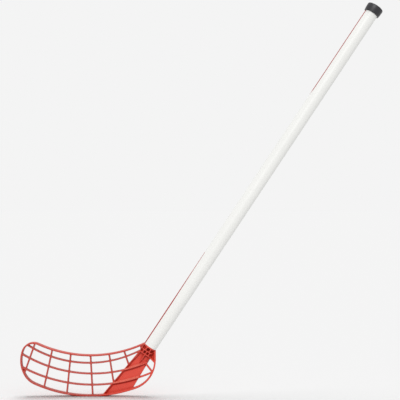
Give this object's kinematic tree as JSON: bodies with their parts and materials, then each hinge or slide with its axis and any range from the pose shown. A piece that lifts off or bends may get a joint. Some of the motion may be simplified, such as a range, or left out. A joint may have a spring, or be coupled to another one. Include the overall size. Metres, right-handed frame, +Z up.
{
  "type": "floorball stick",
  "caption": "Floorball stick: straight round white shaft with red side stripes, a red lattice blade on a pocketed neck and a black pull-off cap on the handle end.",
  "frame": {"origin": "middle of the flat on the blade's sole, on the floor", "axes": "+X along the blade towards the heel and the shaft's lean, +Y through the blade's thickness, away from the viewer, +Z up"},
  "size_m": [0.7344, 0.0342, 0.7982],
  "materials": {
    "shaft_white": "smooth white lacquer on a fibre tube",
    "blade_red": "satin injection-moulded polyethylene",
    "screw_steel": "zinc-plated",
    "cap_black": "matt moulded rubber",
    "stripe_red": "printed foil under clear lacquer"
  },
  "bodies": {
    "stick": {"shaft_tube": "shaft_white", "blade": "blade_red", "blade_screws": "screw_steel", "lower_stripe": "stripe_red", "upper_stripe": "stripe_red"},
    "cap": {"end_cap": "cap_black"}
  },
  "joints": [
    {"name": "cap_pull", "type": "slide", "parent": "stick", "child": "cap", "axis": [0.5534, 0, 0.8329], "range_m": [0, 0.03]}
  ]
}
